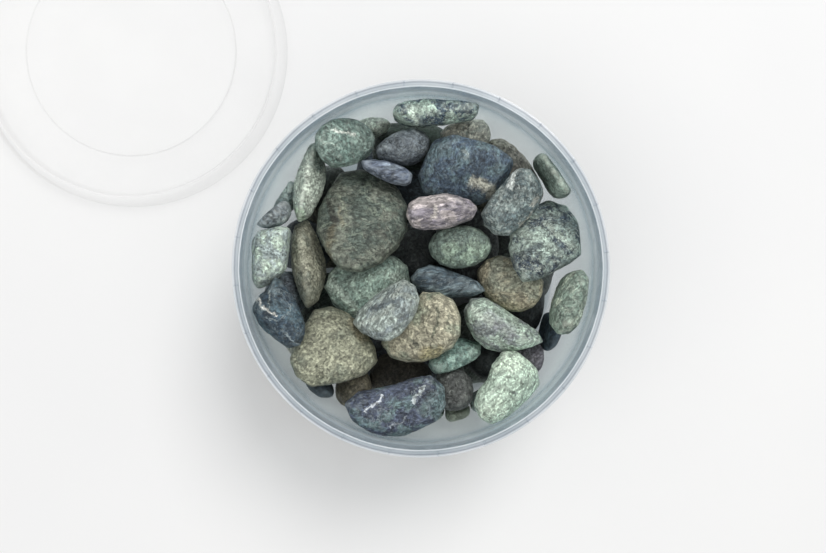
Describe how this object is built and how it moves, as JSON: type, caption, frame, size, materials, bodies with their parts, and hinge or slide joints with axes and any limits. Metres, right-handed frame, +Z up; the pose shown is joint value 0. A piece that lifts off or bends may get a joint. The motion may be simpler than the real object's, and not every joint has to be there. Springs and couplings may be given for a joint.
{
  "type": "tub of massage stones",
  "caption": "Round clear tub filled to the rim with loose tumbled massage stones, with its push-on lid lying beside it.",
  "frame": {"origin": "centre of the tub's flat underside, on the surface that it stands on", "axes": "+Z up along the tub's axis; the lid lies beside the tub towards -X and +Y"},
  "size_m": [0.3807, 0.3365, 0.11],
  "materials": {
    "clear_plastic": "clear, faintly blue moulded polypropylene",
    "clear_lid_plastic": "clear moulded polypropylene",
    "green_stone": "tumbled, matte, mottled dark green",
    "pale_green_stone": "tumbled, matte, pale green with dark specks",
    "tan_stone": "tumbled, matte, olive tan",
    "blue_stone": "tumbled, matte, dark blue with pale veins",
    "grey_stone": "tumbled, matte, blue-grey",
    "pink_grey_stone": "tumbled, matte, pinkish grey with cream bands"
  },
  "bodies": {
    "tub": {"tub": "clear_plastic", "base_stone_1": "green_stone", "base_stone_2": "tan_stone", "base_stone_3": "blue_stone", "base_stone_4": "tan_stone", "base_stone_5": "green_stone", "base_stone_6": "blue_stone", "base_stone_7": "pale_green_stone", "base_stone_8": "grey_stone", "sage_wall_pebble": "green_stone", "olive_wall_pebble": "tan_stone", "teal_wall_pebble": "pale_green_stone", "charcoal_pebble": "grey_stone", "umber_front_stone": "tan_stone", "bark_brown_pebble": "tan_stone", "blue_black_pebble": "blue_stone", "buff_wall_stone": "tan_stone", "slate_wall_stone": "grey_stone", "granite_gap_stone": "grey_stone", "moss_back_stone": "green_stone", "plum_side_stone": "pink_grey_stone", "ink_blue_side_stone": "blue_stone", "shadow_grey_stone": "grey_stone", "grey_gap_stone": "grey_stone", "ash_centre_stone": "grey_stone", "steel_left_stone": "grey_stone", "sage_under_stone": "green_stone", "dusk_under_stone": "grey_stone", "pale_cream_back_stone": "pale_green_stone", "brown_back_stone": "tan_stone", "peach_back_stone": "tan_stone", "green_grey_back_stone": "green_stone", "tan_ridge_stone": "tan_stone", "sage_big_stone": "green_stone", "tan_right_stone": "tan_stone", "olive_big_stone": "tan_stone", "teal_wedge_stone": "green_stone", "green_ridge_stone": "green_stone", "green_giant_stone": "green_stone", "blue_angular_stone": "blue_stone", "dark_teardrop_stone": "blue_stone", "green_egg_stone": "green_stone", "striped_green_stone": "green_stone", "cream_beige_stone": "tan_stone", "green_slipper_stone": "pale_green_stone"},
    "lid": {"lid": "clear_lid_plastic"},
    "blue_grey_wall_pebble": {"blue_grey_wall_pebble": "grey_stone"},
    "dark_wedge_stone": {"dark_wedge_stone": "grey_stone"},
    "green_rim_stone": {"green_rim_stone": "green_stone"},
    "grey_blade_stone": {"grey_blade_stone": "grey_stone"},
    "grey_pale_left_stone": {"grey_pale_left_stone": "pale_green_stone"},
    "mint_triangle_stone": {"mint_triangle_stone": "pale_green_stone"},
    "mottled_back_stone": {"mottled_back_stone": "pale_green_stone"},
    "navy_left_stone": {"navy_left_stone": "blue_stone"},
    "pale_right_stone": {"pale_right_stone": "green_stone"},
    "pink_bar_stone": {"pink_bar_stone": "pink_grey_stone"},
    "round_green_stone": {"round_green_stone": "green_stone"},
    "speckled_oval_stone": {"speckled_oval_stone": "blue_stone"},
    "swirled_grey_stone": {"swirled_grey_stone": "grey_stone"},
    "violet_blue_stone": {"violet_blue_stone": "blue_stone"}
  },
  "joints": [
    {"name": "lift_lid", "type": "slide", "parent": "tub", "child": "lid", "axis": [0, 0, 1], "range_m": [0, 0.08]},
    {"name": "lift_blue_grey_wall", "type": "slide", "parent": "tub", "child": "blue_grey_wall_pebble", "axis": [0, 0, 1], "range_m": [0, 0.08]},
    {"name": "lift_dark_wedge", "type": "slide", "parent": "tub", "child": "dark_wedge_stone", "axis": [0, 0, 1], "range_m": [0, 0.08]},
    {"name": "lift_green_rim", "type": "slide", "parent": "tub", "child": "green_rim_stone", "axis": [0, 0, 1], "range_m": [0, 0.08]},
    {"name": "lift_grey_blade", "type": "slide", "parent": "tub", "child": "grey_blade_stone", "axis": [0, 0, 1], "range_m": [0, 0.08]},
    {"name": "lift_grey_pale_left", "type": "slide", "parent": "tub", "child": "grey_pale_left_stone", "axis": [0, 0, 1], "range_m": [0, 0.08]},
    {"name": "lift_mint_triangle", "type": "slide", "parent": "tub", "child": "mint_triangle_stone", "axis": [0, 0, 1], "range_m": [0, 0.08]},
    {"name": "lift_mottled_back", "type": "slide", "parent": "tub", "child": "mottled_back_stone", "axis": [0, 0, 1], "range_m": [0, 0.08]},
    {"name": "lift_navy_left", "type": "slide", "parent": "tub", "child": "navy_left_stone", "axis": [0, 0, 1], "range_m": [0, 0.08]},
    {"name": "lift_pale_right", "type": "slide", "parent": "tub", "child": "pale_right_stone", "axis": [0, 0, 1], "range_m": [0, 0.08]},
    {"name": "lift_pink_bar", "type": "slide", "parent": "tub", "child": "pink_bar_stone", "axis": [0, 0, 1], "range_m": [0, 0.08]},
    {"name": "lift_round_green", "type": "slide", "parent": "tub", "child": "round_green_stone", "axis": [0, 0, 1], "range_m": [0, 0.08]},
    {"name": "lift_speckled_oval", "type": "slide", "parent": "tub", "child": "speckled_oval_stone", "axis": [0, 0, 1], "range_m": [0, 0.08]},
    {"name": "lift_swirled_grey", "type": "slide", "parent": "tub", "child": "swirled_grey_stone", "axis": [0, 0, 1], "range_m": [0, 0.08]},
    {"name": "lift_violet_blue", "type": "slide", "parent": "tub", "child": "violet_blue_stone", "axis": [0, 0, 1], "range_m": [0, 0.08]}
  ]
}
